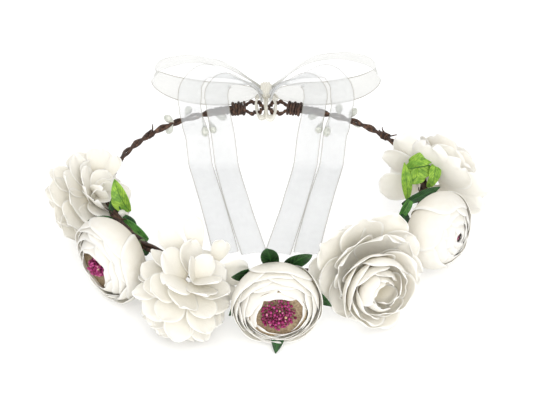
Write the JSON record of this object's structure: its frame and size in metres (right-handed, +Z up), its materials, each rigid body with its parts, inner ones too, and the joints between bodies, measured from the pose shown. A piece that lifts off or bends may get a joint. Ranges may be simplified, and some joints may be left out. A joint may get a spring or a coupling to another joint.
{
  "type": "flower crown",
  "caption": "Flower crown of ivory fabric flowers, green leaves and pale pips on a twisted vine ring, tied at the back with an organza bow.",
  "frame": {"origin": "the centre of the bounding box in plan, on the surface that the crown lies on", "axes": "+Z up, through the ring; front of the crown towards -Y; +X to the wearer's left when seen from the front, which is the right of the picture"},
  "size_m": [0.2334, 0.2276, 0.0585],
  "materials": {
    "vine_bark": "paper-covered wire, dark brown",
    "floral_tape": "crepe tape, grey green",
    "petal_fabric": "matt ivory silk-like fabric",
    "stamens": "burgundy thread with tan flecks",
    "leaf_fabric": "green printed fabric",
    "pip_coating": "pale satin coating",
    "organza": "sheer ivory organza"
  },
  "bodies": {
    "front_band": {"front_vine_1": "vine_bark", "front_vine_2": "vine_bark", "front_vine_3": "vine_bark", "ribbon_knot": "organza", "left_bow_loop": "organza", "right_bow_loop": "organza", "left_outer_arch": "organza", "left_inner_arch": "organza", "right_inner_arch": "organza", "right_outer_arch": "organza", "left_upper_leaf": "leaf_fabric", "left_lower_leaf": "leaf_fabric", "right_leaf_bunch": "leaf_fabric", "right_lower_leaf": "leaf_fabric"},
    "left_arm": {"left_arm_vine_1": "vine_bark", "left_arm_vine_2": "vine_bark", "left_end_eye": "vine_bark", "left_tie": "organza", "left_upper_pips": "pip_coating", "left_lower_pips": "pip_coating"},
    "right_arm": {"right_arm_vine_1": "vine_bark", "right_arm_vine_2": "vine_bark", "right_end_eye": "vine_bark", "right_tie": "organza", "right_upper_pips": "pip_coating", "right_lower_pips": "pip_coating"},
    "left_outer_tail": {"left_outer_tail": "organza"},
    "left_inner_tail": {"left_inner_tail": "organza"},
    "right_outer_tail": {"right_outer_tail": "organza"},
    "right_inner_tail": {"right_inner_tail": "organza"},
    "left_back_bloom": {"left_back_bloom_stem": "floral_tape", "left_back_bloom_outer_petals": "petal_fabric", "left_back_bloom_inner_petals": "petal_fabric", "left_back_bloom_heart": "petal_fabric"},
    "left_ranunculus": {"left_ranunculus_stem": "floral_tape", "left_ranunculus_outer_petals": "petal_fabric", "left_ranunculus_inner_petals": "petal_fabric", "left_ranunculus_stamens": "stamens"},
    "front_left_bloom": {"front_left_bloom_stem": "floral_tape", "front_left_bloom_outer_petals": "petal_fabric", "front_left_bloom_inner_petals": "petal_fabric", "front_left_bloom_heart": "petal_fabric"},
    "front_ranunculus": {"front_ranunculus_stem": "floral_tape", "front_ranunculus_outer_petals": "petal_fabric", "front_ranunculus_inner_petals": "petal_fabric", "front_ranunculus_stamens": "stamens", "front_leaf_collar": "leaf_fabric"},
    "front_right_rose": {"front_right_rose_stem": "floral_tape", "front_right_rose_outer_petals": "petal_fabric", "front_right_rose_inner_petals": "petal_fabric", "front_right_rose_heart": "petal_fabric"},
    "right_ranunculus": {"right_ranunculus_stem": "floral_tape", "right_ranunculus_outer_petals": "petal_fabric", "right_ranunculus_inner_petals": "petal_fabric", "right_ranunculus_stamens": "stamens"},
    "right_back_rose": {"right_back_rose_stem": "floral_tape", "right_back_rose_outer_petals": "petal_fabric", "right_back_rose_inner_petals": "petal_fabric", "right_back_rose_heart": "petal_fabric"}
  },
  "joints": [
    {"name": "left_arm_flex", "type": "hinge", "parent": "front_band", "child": "left_arm", "pos_m": [-0.08954, 0.02848, 0.02846], "axis": [0, 0, 1], "range_deg": [0, 12]},
    {"name": "right_arm_flex", "type": "hinge", "parent": "front_band", "child": "right_arm", "pos_m": [0.08053, 0.04889, 0.02846], "axis": [0, 0, -1], "range_deg": [0, 12]},
    {"name": "left_outer_tail_lift", "type": "hinge", "parent": "front_band", "child": "left_outer_tail", "pos_m": [-0.04775, 0.0732, 0.0003], "axis": [-1, 0, 0], "range_deg": [0, 75]},
    {"name": "left_inner_tail_lift", "type": "hinge", "parent": "front_band", "child": "left_inner_tail", "pos_m": [-0.03136, 0.0732, 0.0003], "axis": [-1, 0, 0], "range_deg": [0, 75]},
    {"name": "right_outer_tail_lift", "type": "hinge", "parent": "front_band", "child": "right_outer_tail", "pos_m": [0.04642, 0.0732, 0.0003], "axis": [-1, 0, 0], "range_deg": [0, 75]},
    {"name": "right_inner_tail_lift", "type": "hinge", "parent": "front_band", "child": "right_inner_tail", "pos_m": [0.03003, 0.0732, 0.0003], "axis": [-1, 0, 0], "range_deg": [0, 75]},
    {"name": "left_back_bloom_tilt", "type": "hinge", "parent": "front_band", "child": "left_back_bloom", "pos_m": [-0.09105, -0.00757, 0.02846], "axis": [0.156, -0.9878, 0], "range_deg": [-6, 6]},
    {"name": "left_ranunculus_tilt", "type": "hinge", "parent": "front_band", "child": "left_ranunculus", "pos_m": [-0.06884, -0.05433, 0.02846], "axis": [0.667, -0.7451, 0], "range_deg": [-6, 6]},
    {"name": "front_left_bloom_tilt", "type": "hinge", "parent": "front_band", "child": "front_left_bloom", "pos_m": [-0.03595, -0.07772, 0.02846], "axis": [0.9227, -0.3856, 0], "range_deg": [-6, 6]},
    {"name": "front_ranunculus_tilt", "type": "hinge", "parent": "front_band", "child": "front_ranunculus", "pos_m": [0.0038, -0.08469, 0.02846], "axis": [0.9988, 0.0489, 0], "range_deg": [-6, 6]},
    {"name": "front_right_rose_tilt", "type": "hinge", "parent": "front_band", "child": "front_right_rose", "pos_m": [0.04856, -0.07043, 0.02846], "axis": [0.8429, 0.538, 0], "range_deg": [-6, 6]},
    {"name": "right_ranunculus_tilt", "type": "hinge", "parent": "front_band", "child": "right_ranunculus", "pos_m": [0.08189, -0.03275, 0.02846], "axis": [0.4311, 0.9023, 0], "range_deg": [-6, 6]},
    {"name": "right_back_rose_tilt", "type": "hinge", "parent": "front_band", "child": "right_back_rose", "pos_m": [0.09055, 0.0139, 0.02846], "axis": [-0.0787, 0.9969, 0], "range_deg": [-6, 6]}
  ]
}
